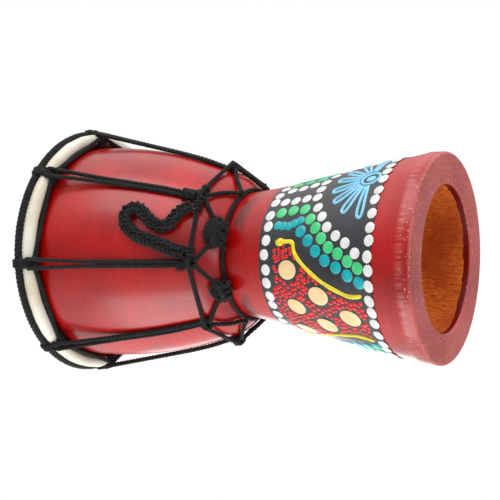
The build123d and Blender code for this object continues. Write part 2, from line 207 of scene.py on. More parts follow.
def arc_through(a, b, c, count):
    """Points of the arc from a through b to c."""
    (ar, az), (br, bz), (cr, cz) = a, b, c
    d = 2 * (ar * (bz - cz) + br * (cz - az) + cr * (az - bz))
    sa, sb, sc = ar * ar + az * az, br * br + bz * bz, cr * cr + cz * cz
    centre = (
        (sa * (bz - cz) + sb * (cz - az) + sc * (az - bz)) / d,
        (sa * (cr - br) + sb * (ar - cr) + sc * (br - ar)) / d,
    )
    start, mid, end = (math.degrees(math.atan2(p[1] - centre[1], p[0] - centre[0])) for p in (a, b, c))
    mid += 360 * round((start - mid) / 360)
    end += 360 * round((mid - end) / 360)
    return arc(centre, math.hypot(ar - centre[0], az - centre[1]), start, end, count)


def straight(a, b, count):
    """Evenly spaced points of a straight run in the (radius, height) plane."""
    return [(a[0] + (b[0] - a[0]) * i / count, a[1] + (b[1] - a[1]) * i / count) for i in range(count + 1)]


def neck_curve(count):
    """The cone runs on into this arc, which ends in the valley of the neck."""
    run = Vector((CONE_R - FOOT_R, CONE_H - FOOT_BAND)).normalized()
    chord = Vector((NECK_R - CONE_R, NECK_H - CONE_H))
    side = Vector((run.y, -run.x))
    bend = chord.length_squared / (2 * chord.dot(side))
    centre = (CONE_R + side.x * bend, CONE_H + side.y * bend)
    start = math.degrees(math.atan2(CONE_H - centre[1], CONE_R - centre[0]))
    end = math.degrees(math.atan2(NECK_H - centre[1], NECK_R - centre[0]))
    return arc(centre, abs(bend), start, end + 360 * round((start - end) / 360), count)


def without_doubles(outline):
    """Drops a point that repeats the one before it."""
    return [p for p, last in zip(outline, [None] + outline) if last is None or math.dist(p, last) > SAME]


shoulder_start = -math.degrees(math.acos((NECK_R - SHOULDER_C[0]) / SHOULDER_ARC))
shoulder_end = math.degrees(math.asin((SHOULDER_TOP - SHOULDER_C[1]) / SHOULDER_ARC))
side_start = math.degrees(math.asin((SHOULDER_TOP - BELLY_H) / SIDE_ARC))
lip_join = math.degrees(math.asin((LIP_C[1] - BELLY_H) / (RIM_ARC - LIP_R)))
outside = (
    straight((FOOT_HOLE_R + HOLE_ROUND, 0.0), (FOOT_R - FOOT_ROUND, 0.0), 3)
    + arc((FOOT_R - FOOT_ROUND, FOOT_ROUND), FOOT_ROUND, -90, 0, 5)
    + straight((FOOT_R, FOOT_ROUND), (FOOT_R - FOOT_DRAFT, FOOT_BAND - FOOT_EASE), 2)
    + straight((FOOT_R - FOOT_EASE, FOOT_BAND + FOOT_EASE), (CONE_R, CONE_H), 8)
    + neck_curve(12)
    + arc(SHOULDER_C, SHOULDER_ARC, shoulder_start, shoulder_end, 12)
    + arc((BELLY_R - SIDE_ARC, BELLY_H), SIDE_ARC, side_start, 0, 20)
    + arc((BELLY_R - RIM_ARC, BELLY_H), RIM_ARC, 0, lip_join, 8)
    + arc(LIP_C, LIP_R, lip_join, 180, 8)
)
lip_in = LIP_C[0] - LIP_R
inside = (
    arc_through((lip_in, LIP_C[1] - LIP_R), (CHAMBER_R, CHAMBER_H), THROAT_TOP, 16)
    + straight((THROAT_R, THROAT_H), (FOOT_HOLE_R, HOLE_ROUND), 12)
    + arc((FOOT_HOLE_R + HOLE_ROUND, HOLE_ROUND), HOLE_ROUND, 180, 270, 4)[:-1]
)


def spun(outline, steps, closed):
    """Turns an outline in the (radius, height) plane once round the drum's axis."""
    bm = bmesh.new()
    corners = [bm.verts.new((r, 0.0, z)) for r, z in outline]
    edges = [bm.edges.new(pair) for pair in zip(corners, corners[1:])]
    if closed:
        edges.append(bm.edges.new((corners[-1], corners[0])))
    bmesh.ops.spin(
        bm, geom=corners + edges, cent=(0, 0, 0), axis=(0, 0, 1),
        angle=2 * math.pi, steps=steps, use_merge=True, use_duplicate=False,
    )
    bmesh.ops.remove_doubles(bm, verts=bm.verts, dist=SAME)
    bmesh.ops.recalc_face_normals(bm, faces=bm.faces)
    return bm


def piece(name, bm, finishes, slot, *nodes, body="drum", sharp=50):
    """Makes the bmesh a finished piece of the drum that rides on a body and stands for its nodes."""
    mesh = bpy.data.meshes.new(name)
    bm.to_mesh(mesh)
    bm.free()
    for finish in finishes:
        mesh.materials.append(finish)
    mesh.shade_smooth()
    mesh.set_sharp_from_angle(angle=math.radians(sharp))
    made = bpy.data.objects.new(name, mesh)
    bpy.context.scene.collection.objects.link(made)
    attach(made, body)
    if nodes:
        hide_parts(*nodes)
    return made


def rgb(red, green, blue):
    """A colour in linear light from the 0 to 255 values that a paint card gives."""
    return tuple((c / 255) ** 2.2 for c in (red, green, blue)) + (1.0,)


def finish_of(name, sockets):
    """A new finish: the material, its surface and the piece's own coordinates."""
    made = bpy.data.materials.new(name)
    made.use_nodes = True
    tree = made.node_tree
    surface = tree.nodes["Principled BSDF"]
    for socket, value in sockets.items():
        surface.inputs[socket].default_value = value
    where = add(tree, "TexCoord").outputs["Object"]
    return made, surface, where


def mottle(where, scale, detail=3.0, stretch=(1.0, 1.0, 1.0)):
    """Cloudy variation; scale is how many clouds there are to a metre."""
    shaped = add(where.id_data, "Mapping", {"Vector": where, "Scale": stretch}).outputs[0]
    return add(where.id_data, "TexNoise", {"Vector": shaped, "Scale": scale, "Detail": detail}).outputs[0]


def shades(factor, *stops):
    """A run of colours along a factor."""
    made = add(factor.id_data, "ValToRGB", {"Fac": factor})
    ramp = made.color_ramp
    while len(ramp.elements) < len(stops):
        ramp.elements.new(0.5)
    for element, (place, colour) in zip(ramp.elements, stops):
        element.position = place
        element.color = colour
    return made.outputs[0]


def blended(factor, first, second):
    """Two colours mixed by a factor."""
    inputs = {"Fac": factor, "Color1": first, "Color2": second}
    return add(factor.id_data, "MixRGB", inputs).outputs[0]


def between(value, low, high, start=0.0, end=1.0):
    """Carries a value from the range low..high to start..end, and holds it there outside."""
    inputs = {"Value": value, "From Min": low, "From Max": high, "To Min": start, "To Max": end}
    return add(value.id_data, "MapRange", inputs).outputs[0]


def worked(operation, *values):
    """One step of arithmetic on a socket and another socket or value."""
    return add(values[0].id_data, "Math", dict(enumerate(values)), operation=operation).outputs[0]


def times(*values):
    """A socket times another socket or value."""
    return worked("MULTIPLY", *values)


def away_from(value, middle):
    """How far a value is from a middle one, either way."""
    return worked("ABSOLUTE", worked("SUBTRACT", value, middle))


def dress(surface, colour, rough, *layers):
    """Links colour, roughness and stacked bumps; each layer is a height and its depth in metres."""
    tree = surface.id_data
    tree.links.new(colour, surface.inputs["Base Color"])
    if rough is not None:
        tree.links.new(rough, surface.inputs["Roughness"])
    normal = None
    for height, depth in layers:
        inputs = {"Height": height, "Distance": depth, "Strength": 1.0}
        if normal is not None:
            inputs["Normal"] = normal
        normal = add(tree, "Bump", inputs).outputs[0]
    tree.links.new(normal, surface.inputs["Normal"])


def specks(where, scale, share, size):
    """Small round specks in a share of the cells of a grid, as dust and pinholes are."""
    cells = add(where.id_data, "TexVoronoi", {"Vector": where, "Scale": scale})
    chosen = add(where.id_data, "SeparateColor", {"Color": cells.outputs["Color"]}).outputs[0]
    near = worked("LESS_THAN", cells.outputs["Distance"], size)
    return times(near, worked("LESS_THAN", chosen, share))


def heights(where):
    """The parts of a place, its distance from the drum's axis, and its height up it."""
    tree = where.id_data
    parts = add(tree, "SeparateXYZ", {"Vector": where})
    flat = add(tree, "CombineXYZ", {"X": parts.outputs["X"], "Y": parts.outputs["Y"]}).outputs[0]
    radius = add(tree, "VectorMath", {0: flat}, operation="LENGTH").outputs["Value"]
    return parts, radius, parts.outputs["Z"]


LACQUER_DEEP = rgb(152, 3, 2)
LACQUER_LIGHT = rgb(206, 13, 7)
LACQUER_DARK = rgb(96, 4, 4)
# Pale pink: the dust on the foot, and also the painted highlight along its corner.
DUST_AND_HIGHLIGHT = rgb(232, 168, 160)
lacquer, surface, where = finish_of("red_lacquer", {
    "Coat Weight": 0.36, "Coat Roughness": 0.19, "Coat IOR": 1.5, "Specular IOR Level": 0.5,
})
parts, radius, up = heights(where)
cloud = mottle(where, 26.0)
turning = mottle(where, 1.0, 2.0, (12.0, 12.0, 1500.0))
red = shades(cloud, (0.32, LACQUER_DEEP), (0.70, LACQUER_LIGHT))
red = blended(between(turning, 0.45, 0.75, 0.0, 0.30), red, LACQUER_DARK)

# In the valley of the neck the lacquer is darker in patches, and chips bare the pale wood.
VALLEY, VALLEY_REACH = NECK_H - 0.004, (0.004, 0.009)
CHIPPED = rgb(232, 150, 110)
valley = between(away_from(up, VALLEY), *VALLEY_REACH, 1.0, 0.0)
patches = between(mottle(where, 1.0, 3.0, (60.0, 60.0, 130.0)), 0.52, 0.60)
chips = between(mottle(where, 1.0, 4.0, (150.0, 150.0, 420.0)), 0.70, 0.715)
red = blended(times(valley, times(patches, 0.85)), red, LACQUER_DARK)
red = blended(times(valley, chips), red, CHIPPED)

# The foot stood in dust: its face is hazy and specked. Pale streaks along its corner are a painted highlight.
CORNER = 0.0050
foot = between(up, FOOT_ROUND, FOOT_BAND, 1.0, 0.05)
face = between(up, 0.0006, 0.0017, 1.0, 0.0)
corner = between(away_from(up, CORNER), 0.0004, 0.0026, 1.0, 0.0)
swept = add(where.id_data, "CombineXYZ", {
    0: times(radius, 70.0), 1: parts.outputs["X"], 2: parts.outputs["Y"],
}).outputs[0]
arcs = between(mottle(swept, 30.0, 3.0), 0.66, 0.70)
# Painted highlight: pale streaks along the foot's corner band stand in for the glossy reflection there.
painted_highlight_streaks = between(mottle(where, 1.0, 5.0, (900.0, 900.0, 60.0)), 0.42, 0.70)
dust = times(specks(where, 760.0, 0.55, 0.25), foot)
# Each layer turns the red towards pale pink: face haze, the painted highlight streaks on the corner,
# scratches and specks.
for dusty in (
    times(face, between(cloud, 0.3, 0.7, 0.12, 0.34)),
    times(corner, times(painted_highlight_streaks, 0.30)),
    times(arcs, times(face, 0.25)),
    times(dust, 0.8),
):
    red = blended(dusty, red, DUST_AND_HIGHLIGHT)
rough = worked("ADD", between(cloud, 0.3, 0.7, 0.24, 0.38), times(face, 0.18))
skin = mottle(where, 700.0, 2.0)
dress(surface, red, rough, (turning, 0.00003), (skin, 0.00003), (dust, 0.00005))

WOOD_DARK = rgb(190, 78, 20)
WOOD_WARM = rgb(250, 140, 54)
WOOD_FIGURE = rgb(168, 62, 16)
SLOPPED = rgb(112, 10, 8)
raw_wood, surface, where = finish_of("raw_wood", {"Roughness": 0.78, "Specular IOR Level": 0.3})
fibres = mottle(where, 1300.0, 7.0, (1.0, 1.0, 0.22))
rings = mottle(where, 1.0, 3.0, (25.0, 25.0, 700.0))
figure = mottle(where, 34.0, 3.0)
wood = shades(fibres, (0.30, WOOD_DARK), (0.62, WOOD_WARM))
wood = blended(between(figure, 0.42, 0.66, 0.0, 0.70), wood, WOOD_FIGURE)
wood = blended(between(rings, 0.55, 0.8, 0.0, 0.35), wood, WOOD_DARK)
edge = between(mottle(where, 60.0, 4.0), 0.2, 0.8, -0.0020, 0.0020)
edge = worked("ADD", heights(where)[2], edge)
slopped = between(edge, 0.0032, 0.0036, 1.0, 0.0)
wood = blended(slopped, wood, SLOPPED)
rough = between(slopped, 0.0, 1.0, 0.80, 0.30)
dress(surface, wood, rough, (fibres, 0.00010), (rings, 0.00005))

bm = spun(without_doubles(outside + inside), SHELL_STEPS, True)
for face in bm.faces:
    middle = face.calc_center_median()
    outward = Vector((middle.x, middle.y, 0.0)).normalized()
    raw = face.normal.dot(outward) < -0.05 and middle.z > HOLE_ROUND
    face.material_index = 1 if raw else 0
piece("turned_shell", bm, [lacquer, raw_wood], "lacquered_wood", "shell", sharp=28)

# --------------------
# Painted band. A coat of charcoal paint round the foot cone, dotted and lined
# by hand with thick craft paint that dries proud of the surface.
BAND_LOW, BAND_HIGH = 0.0184, 0.0780
COAT = 0.00014
BURIED = 0.00040
BAND_WAVER = 0.0004
BAND_STEPS = 16
cone_points = without_doubles(straight((FOOT_R, FOOT_BAND), (CONE_R, CONE_H), 8) + neck_curve(12))


def cone_radius(height):
    """Outer radius of the foot cone and the neck at a height."""
    for (r0, z0), (r1, z1) in zip(cone_points, cone_points[1:]):
        if z0 <= height <= z1:
            return r0 + (r1 - r0) * (height - z0) / (z1 - z0)
    return NECK_R


def at(angle, radius, height, side=0.0):
    """A point by its angle from the front towards +X, its radius and height, moved along the tangent."""
    a = math.radians(angle)
    across = Vector((math.cos(a), math.sin(a), 0.0))
    return Vector((radius * math.sin(a), -radius * math.cos(a), height)) + across * side


def cone_frame(angle, height, proud):
    """A spot on the cone, as a frame whose X runs round it, Y up it, and Z out of it."""
    slope = (cone_radius(height + 0.001) - cone_radius(height - 0.001)) / 0.002
    out = at(angle, 1.0, -slope).normalized()
    round_it = at(angle, 0.0, 0.0, 1.0)
    made = Matrix((round_it, out.cross(round_it), out)).transposed().to_4x4()
    made.translation = at(angle, cone_radius(height), height) + out * proud
    return made


band_heights = [BAND_LOW + (BAND_HIGH - BAND_LOW) * i / BAND_STEPS for i in range(BAND_STEPS + 1)]
film = [(cone_radius(z) + COAT, z) for z in band_heights]
film += [(cone_radius(z) - BURIED, z) for z in reversed(band_heights)]
bm = spun(film, SHELL_STEPS, True)
for vert in bm.verts:
    for height in (BAND_LOW, BAND_HIGH):
        if abs(vert.co.z - height) < SAME:
            vert.co.z += BAND_WAVER * noise.noise(vert.co * 110.0)

charcoal, surface, where = finish_of("charcoal_paint", {
    "Coat Weight": 0.35, "Coat Roughness": 0.22, "Specular IOR Level": 0.55,
})
cloud = mottle(where, 60.0)
brushed = mottle(where, 1.0, 3.0, (14.0, 14.0, 900.0))
dust = specks(where, 420.0, 0.05, 0.14)
paint = shades(cloud, (0.3, rgb(40, 41, 45)), (0.7, rgb(58, 59, 64)))
paint = blended(times(dust, 0.6), paint, rgb(150, 150, 155))
rough = between(cloud, 0.3, 0.7, 0.34, 0.50)
dress(surface, paint, rough, (brushed, 0.00004), (mottle(where, 900.0), 0.00002))
piece("painted_band", bm, [charcoal], "lacquered_wood", sharp=40)

MIRROR = 51.0
ROW_R, FLAT_R = 0.038, 0.0425
chance = random.Random(11)


def repeats(angle):
    """The design is the same both sides of each mirror line, and twice round the drum."""
    both = (angle, 2 * MIRROR - angle)
    return sorted({round((a + turn) % 360, 3) for a in both for turn in (0, 180)})


def drop(bm, angle, height, wide, tall, proud=0.00040, lean=0.0, fine=False):
    """One drop of paint: a low dome that is half sunk in the coat."""
    size = Matrix.Diagonal((0.5 * wide, 0.5 * tall, proud, 1.0))
    unevenly = Matrix.Rotation(math.radians(lean), 4, "Z")
    place = cone_frame(angle, height, COAT) @ unevenly @ size
    around, over = (16, 8) if fine else (10, 6)
    bmesh.ops.create_uvsphere(bm, u_segments=around, v_segments=over, radius=1.0, matrix=place)


def row(points, count):
    """Evenly spaced spots along a bent row of (angle, height) points."""
    flat = [Vector((math.radians(a) * ROW_R, z)) for a, z in points]
    lengths = [(b - a).length for a, b in zip(flat, flat[1:])]
    spots = []
    for i in range(count):
        left = sum(lengths) * i / (count - 1)
        k = 0
        while left > lengths[k] + 1e-9 and k < len(lengths) - 1:
            left -= lengths[k]
            k += 1
        here = flat[k].lerp(flat[k + 1], left / lengths[k])
        spots.append((math.degrees(here.x / ROW_R), here.y))
    return spots


def dotted(bm, rows, wide, tall):
    """A drop at each spot of the rows and of their repeats, each a little off and leaning."""
    for angle, height in rows:
        for again in repeats(angle):
            drop(bm, again + chance.uniform(-0.5, 0.5), height, wide, tall, lean=chance.uniform(-30, 30))


def painted(name, bm, finish, colour, worn):
    """A piece of thick acrylic dot paint, glossy, with a faint skin."""
    made, surface, where = finish_of(finish, {
        "Coat Weight": 0.3, "Coat Roughness": 0.15, "Roughness": 0.32,
    })
    cloud = mottle(where, 260.0)
    colours = shades(cloud, (0.3, rgb(*worn)), (0.62, rgb(*colour)))
    dress(surface, colours, None, (mottle(where, 700.0, 2.0), 0.00006))
    piece(name, bm, [made], "lacquered_wood")


# Ring dots at both edges, and the white rows that run down from the neck.
NECK_DOTS, FOOT_DOTS = 33, 45
NECK_DOT_H, FOOT_DOT_H = 0.0746, 0.0199
bm = bmesh.new()
for count, height, wide, tall in (
    (NECK_DOTS, NECK_DOT_H, 0.0052, 0.0050),
    (FOOT_DOTS, FOOT_DOT_H, 0.0054, 0.0049),
):
    for i in range(count):
        angle = 360.0 * (i + 0.12 * chance.uniform(-1, 1)) / count
        grown = chance.uniform(0.92, 1.06)
        off = chance.uniform(-0.0004, 0.0004)
        drop(bm, angle, height + off, wide * grown, tall, lean=chance.uniform(-25, 25))
white_rows = row([(43.6, 0.0690), (42.5, 0.0515)], 4)
white_rows += row([(33.5, 0.0491), (18.2, 0.0422), (2.0, 0.0262)], 6)
dotted(bm, white_rows + [(MIRROR, 0.0516)], 0.0050, 0.0052)
painted("white_dots", bm, "white_paint", (246, 247, 244), (226, 228, 226))

# Mint and teal rows beside the white ones.
bm = bmesh.new()
mint_rows = row([(33.0, 0.0688), (33.6, 0.0560)], 3) + row([(24.5, 0.0516), (6.8, 0.0416), (-6.5, 0.0248)], 7)
dotted(bm, mint_rows, 0.0056, 0.0058)
painted("mint_dots", bm, "mint_paint", (84, 220, 142), (58, 200, 122))

bm = bmesh.new()
dotted(bm, row([(16.4, 0.0557), (-1.0, 0.0443), (-14.8, 0.0243)], 7), 0.0057, 0.0059)
for angle, height in row([(22.4, 0.0690), (21.0, 0.0630), (24.6, 0.0568)], 5):
    for again in repeats(angle):
        drop(bm, again, height, 0.0043, 0.0047)
painted("teal_dots", bm, "teal_paint", (4, 184, 192), (2, 160, 172))

# Peach ovals in a field of small red dots.
ovals = [(-10.5, 0.0622, 0.0088, 0.0100), (-26.6, 0.0468, 0.0090, 0.0106)]
ovals += [(MIRROR - 90, 0.0605, 0.0084, 0.0098), (MIRROR - 90, 0.0322, 0.0088, 0.0108)]
bm = bmesh.new()
for angle, height, wide, tall in ovals:
    for again in repeats(angle):
        drop(bm, again, height, wide, tall, 0.00045, lean=chance.uniform(-15, 15), fine=True)
painted("peach_ovals", bm, "peach_paint", (255, 222, 168), (252, 208, 146))

YELLOW_LINE = [
    (8.7, 0.0690), (9.9, 0.0640), (9.6, 0.0590), (1.5, 0.0585), (-7.6, 0.0528),
    (-16.5, 0.0445), (-21.5, 0.0360), (-24.4, 0.0290), (-22.0, 0.0236),
]
RED_PITCH, ROW_RISE, OVAL_CLEAR = 0.00235, 0.86, 0.0011
FIELD_EDGE = MIRROR - 90
bm = bmesh.new()
height = FOOT_DOT_H + 0.0045
line_up = 0
while height < NECK_DOT_H - 0.0030:
    crossing = [
        a + (b - a) * (height - p) / (q - p)
        for (a, p), (b, q) in zip(YELLOW_LINE, YELLOW_LINE[1:])
        if min(p, q) <= height <= max(p, q) and p != q
    ]
    edge = min(crossing) - 3.0 if crossing else YELLOW_LINE[-1][0] - 2.0
    step = math.degrees(RED_PITCH / cone_radius(height))
    angle = FIELD_EDGE + (0.25 if line_up % 2 else 0.75) * step
    while angle < edge:
        spot_a = angle + chance.uniform(-0.22, 0.22) * step
        spot_z = height + chance.uniform(-0.00055, 0.00055)
        clear = True
        for oval_a, oval_z, wide, tall in ovals:
            for centre_a in (oval_a, 2 * FIELD_EDGE - oval_a):
                gap_x = math.radians(spot_a - centre_a) * cone_radius(height) / (0.5 * wide + OVAL_CLEAR)
                gap_z = (spot_z - oval_z) / (0.5 * tall + OVAL_CLEAR)
                clear = clear and gap_x ** 2 + gap_z ** 2 > 1.0
        if clear:
            for again in repeats(spot_a):
                size = chance.uniform(0.0017, 0.0023)
                drop(bm, again, spot_z, size, size * chance.uniform(0.9, 1.25), 0.00038)
        angle += step
    height += RED_PITCH * ROW_RISE
    line_up += 1
painted("red_dots", bm, "red_paint", (236, 32, 40), (212, 20, 28))


def curve_of(name, kind, lines):
    """A new curve, and its splines along lines."""
    curve = bpy.data.curves.new(name, "CURVE")
    curve.dimensions = "3D"
    for line in lines:
        spline = curve.splines.new(kind)
        spline.points.add(len(line) - 1)
        spline.points.foreach_set("co", [c for p in line for c in (*p, 1.0)])
    return curve, curve.splines


def mesh_of(curve):
    """The mesh that a curve makes; the curve itself is removed."""
    holder = bpy.data.objects.new(curve.name, curve)
    mesh = bpy.data.meshes.new_from_object(holder)
    bpy.data.objects.remove(holder)
    bpy.data.curves.remove(curve)
    return mesh


def smooth_line(route, fine=10):
    """Close points along a smooth curve whose control points are the route."""
    curve, splines = curve_of("route", "NURBS", [route])
    curve.resolution_u = fine
    splines[0].order_u = 3
    splines[0].use_endpoint_u = True
    mesh = mesh_of(curve)
    line = [v.co.copy() for v in mesh.vertices]
    bpy.data.meshes.remove(mesh)
    return line


def skein(lines, thickness, swell=None, round_steps=1):
    """A bmesh of round strands along lines; swell gives each strand's thickness share by place."""
    curve, splines = curve_of("skein", "POLY", lines)
    curve.bevel_depth = 0.5 * thickness
    curve.bevel_resolution = round_steps
    curve.use_fill_caps = True
    if swell is not None:
        for spline in splines:
            last = len(spline.points) - 1
            spline.points.foreach_set("radius", [swell(i / last) for i in range(last + 1)])
    mesh = mesh_of(curve)
    bm = bmesh.new()
    bm.from_mesh(mesh)
    bmesh.ops.recalc_face_normals(bm, faces=bm.faces)
    bpy.data.meshes.remove(mesh)
    return bm


def on_cone(flat_line, proud):
    """Lays a line, drawn flat as (way round, height), on both sides of the cone."""
    return [
        [cone_frame(turn + MIRROR + math.degrees(p.x / FLAT_R), p.y, proud).translation for p in flat_line]
        for turn in (0, 180)
    ]


def squeezed(t):
    """Thickness share along a line from a nozzle: a blob, an even run, and a rounded stop."""
    blob = 1.75 * math.sqrt(max(0.04, 1 - ((t - 0.042) / 0.042) ** 2))
    stop = math.sqrt(max(0.04, 1 - ((t - 0.975) / 0.025) ** 2)) if t > 0.975 else 1.0
    even = stop * (1.0 + 0.07 * math.sin(36 * t))
    return max(blob, even) if t > 0.042 else blob


# Yellow lines, squeezed from a nozzle.
drawn = [Vector((math.radians(a - MIRROR) * FLAT_R, z, 0.0)) for a, z in YELLOW_LINE]
lines = []
for way in (1, -1):
    flat_line = smooth_line([Vector((way * p.x, p.y, 0.0)) for p in drawn], 14)
    lines += on_cone(flat_line, -0.0003)
bm = skein(lines, 0.0023, squeezed, 2)
painted("yellow_lines", bm, "yellow_paint", (255, 236, 44), (238, 208, 16))

# Light blue sunburst: an oval eye in a ring, and long petals drawn in outline.
SUN_H, EYE_WIDE, EYE_TALL, EYE_STEPS = 0.0262, 0.0038, 0.0044, 24
petals = [(-29.0, 0.0262), (-24.5, 0.0352), (-16.0, 0.0412), (-6.0, 0.0440)]
petals += [(-a, z) for a, z in petals]
lines = []
for tip_a, tip_z in petals:
    tip = Vector((math.radians(tip_a) * FLAT_R, tip_z - SUN_H, 0.0))
    along = tip.normalized()
    aside = Vector((-along.y, along.x, 0.0))
    outline = [(0.0052, 0.0005), (0.45 * tip.length, 0.0010), (0.94 * tip.length, 0.0016), (tip.length, 0.0)]
    outline += [(run, -off) for run, off in reversed(outline[:3])]
    middle = Vector((0.0, SUN_H, 0.0))
    flat_line = smooth_line([middle + along * run + aside * off for run, off in outline], 8)
    lines += on_cone(flat_line, -0.0001)
oval = []
for i in range(EYE_STEPS + 1):
    a = 2 * math.pi * i / EYE_STEPS
    oval.append(Vector((EYE_WIDE * math.cos(a), SUN_H + EYE_TALL * math.sin(a), 0.0)))
lines += on_cone(oval, -0.0001)
bm = skein(lines, 0.0017, None, 2)
for turn in (0, 180):
    drop(bm, MIRROR + turn, SUN_H, 0.0038, 0.0048, fine=True)
painted("blue_sunburst", bm, "sky_paint", (152, 222, 250), (124, 206, 244))

# --------------------
# Head. A wet rawhide disc is stretched over the bearing edge and folded round
# a wire hoop; it dries stiff and cream. Under the fold it is painted brown as shade.
def ring_of(node):
    """Radius, height and thickness of a node that lies in a ring round the drum's axis."""
    low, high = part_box(node)
    thick = high.z - low.z
    return high.x - 0.5 * thick, 0.5 * (high.z + low.z), thick


HOOP_R, HOOP_Z, HOOP_D = ring_of("flesh_hoop")
HOOP_C = (HOOP_R, HOOP_Z)
SKIN = 0.0006
SNUG = 0.00005
FOLD_END = 468.0
over_lip = LIP_R + SNUG + 0.5 * SKIN
round_hoop = 0.5 * HOOP_D + SNUG + 0.5 * SKIN
reach = (HOOP_R - LIP_C[0], HOOP_Z - LIP_C[1])
lean = math.degrees(math.atan2(reach[1], reach[0]))
leave = lean + 90 - math.degrees(math.asin((over_lip + round_hoop) / math.hypot(*reach)))
head_z = LIP_C[1] + over_lip
sheet = straight((0.0, head_z), (LIP_C[0], head_z), 18)
sheet += arc(LIP_C, over_lip, 90, leave, 6)
sheet += straight(polar(LIP_C, over_lip, leave), polar(HOOP_C, round_hoop, leave + 180), 4)[1:-1]
sheet += arc(HOOP_C, round_hoop, leave + 180, FOLD_END, 22)

POSTS, FIRST_POST = 8, -6.6
PITCH = 360.0 / POSTS
POST_ANGLES = [FIRST_POST + PITCH * post for post in range(POSTS)]
HEAD_STEPS, FOLD_REACH, FOLD_TOP = 192, 0.003, 0.0022
SAG, PULL, PULL_REACH = 0.0005, 0.00022, 3.2
bm = spun(without_doubles(sheet), HEAD_STEPS, False)
for vert in bm.verts:
    flat = Vector((vert.co.x, vert.co.y, 0.0))
    if flat.length < SAME:
        continue
    outward = flat.normalized()
    rough = noise.noise(vert.co * 160.0)
    if flat.length > HOOP_R - FOLD_REACH:
        angle = math.degrees(math.atan2(vert.co.x, -vert.co.y))
        off = (angle - FIRST_POST + PITCH / 2) % PITCH - PITCH / 2
        pull = math.exp(-((off / PULL_REACH) ** 2))
        vert.co += outward * (0.00028 * rough - PULL * pull)
        if vert.co.z > HOOP_Z + FOLD_TOP:
            vert.co.z += 0.0005 * noise.noise(vert.co * 90.0)
    elif flat.length < LIP_C[0]:
        vert.co.z += 0.00016 * noise.noise(vert.co * 45.0) - SAG * (1 - (flat.length / LIP_C[0]) ** 2)
bmesh.ops.solidify(bm, geom=bm.faces, thickness=SKIN)

rawhide, surface, where = finish_of("rawhide", {
    "Subsurface Weight": 0.10, "Subsurface Scale": 0.002, "Specular IOR Level": 0.5, "Coat Weight": 0.15,
})
blotch = mottle(where, 42.0, 4.0)
streak = mottle(where, 70.0, 4.0, (1.0, 0.25, 1.0))
pores = mottle(where, 1500.0, 3.0)
patch = mottle(where, 17.0, 6.0)
hide = shades(blotch, (0.30, rgb(230, 221, 196)), (0.52, rgb(245, 241, 226)), (0.75, rgb(250, 248, 240)))
veins = between(away_from(patch, 0.5), 0.0, 0.012, 0.30, 0.0)
hide = blended(between(patch, 0.52, 0.72, 0.0, 0.35), hide, rgb(222, 200, 156))
hide = blended(veins, hide, rgb(196, 168, 124))
hide = blended(between(streak, 0.55, 0.78, 0.0, 0.40), hide, rgb(206, 182, 138))
hide = blended(specks(where, 260.0, 0.12, 0.12), hide, rgb(150, 112, 74))
_, radius, up = heights(where)
# Painted shade: the underside of the fold, by the hoop, is coloured brown for the shadow there, not for the
# hide.
wavering = worked("ADD", radius, between(blotch, 0.2, 0.8, -0.0006, 0.0006))
shade_under_fold = between(wavering, 0.0556, 0.0572, 1.0, 0.0)
shade_under_fold = times(shade_under_fold, between(up, 0.1950, 0.1975, 1.0, 0.0))
painted_shade_brown = shades(mottle(where, 120.0, 5.0), (0.3, rgb(84, 44, 30)), (0.7, rgb(142, 88, 62)))
hide = blended(shade_under_fold, hide, painted_shade_brown)
rough = between(blotch, 0.3, 0.7, 0.36, 0.55)
dress(surface, hide, rough, (pores, 0.00005), (streak, 0.0002))
piece("rawhide_head", bm, [rawhide], "rawhide", "drum_skin", sharp=45)

wire, surface, where = finish_of("hoop_wire", {"Metallic": 1.0})
drawn = mottle(where, 400.0)
steel = shades(drawn, (0.3, rgb(120, 116, 110)), (0.7, rgb(176, 173, 168)))
dress(surface, steel, between(drawn, 0.3, 0.7, 0.28, 0.5), (drawn, 0.00003))
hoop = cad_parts["flesh_hoop"]
hoop.data.materials.clear()
hoop.data.materials.append(wire)

# --------------------
# Lacing cord. Three plies of black polished cotton laid together; the plies are
# real strands here. Loose fibres stand off the wound ball and the carry loop.
CORD_D, TYING_D = 0.0020, 0.0017
LAY, LAY_STEPS = 3.3, 9
PLY_OFFSET, PLY_D, PLY_SLACK = 0.285, 0.57, 0.10


def evenly(line, step):
    """The same line with its points about step apart."""
    lengths = [0.0]
    for a, b in zip(line, line[1:]):
        lengths.append(lengths[-1] + (b - a).length)
    count = max(2, round(lengths[-1] / step))
    found = []
    k = 0
    for i in range(count + 1):
        along = lengths[-1] * i / count
        while k < len(line) - 2 and lengths[k + 1] < along:
            k += 1
        span = max(lengths[k + 1] - lengths[k], 1e-12)
        found.append(line[k].lerp(line[k + 1], min(1.0, (along - lengths[k]) / span)))
    return found


def carried(line):
    """At each point of a line, two directions square to it, carried along without twisting."""
    ways = [(b - a).normalized() for a, b in zip(line, line[1:])]
    ways = [ways[0]] + [(a + b).normalized() for a, b in zip(ways, ways[1:])] + [ways[-1]]
    first = ways[0].orthogonal().normalized()
    pairs = []
    for way in ways:
        first = (first - way * first.dot(way)).normalized()
        pairs.append((first, way.cross(first)))
    return pairs


def plies(line, diameter, count=3, lay=LAY):
    """The centre lines of the plies that are laid round a cord's line."""
    line = evenly(line, diameter * lay / LAY_STEPS)
    pairs = carried(line)
    step = (line[1] - line[0]).length
    made = []
    for ply in range(count):
        points = []
        for i, (point, (a, b)) in enumerate(zip(line, pairs)):
            turn = 2 * math.pi * (i * step / (diameter * lay) + ply / count)
            slack = 1.0 + PLY_SLACK * noise.noise(point * 420.0)
            points.append(point + (a * math.cos(turn) + b * math.sin(turn)) * PLY_OFFSET * diameter * slack)
        made.append(points)
    return made


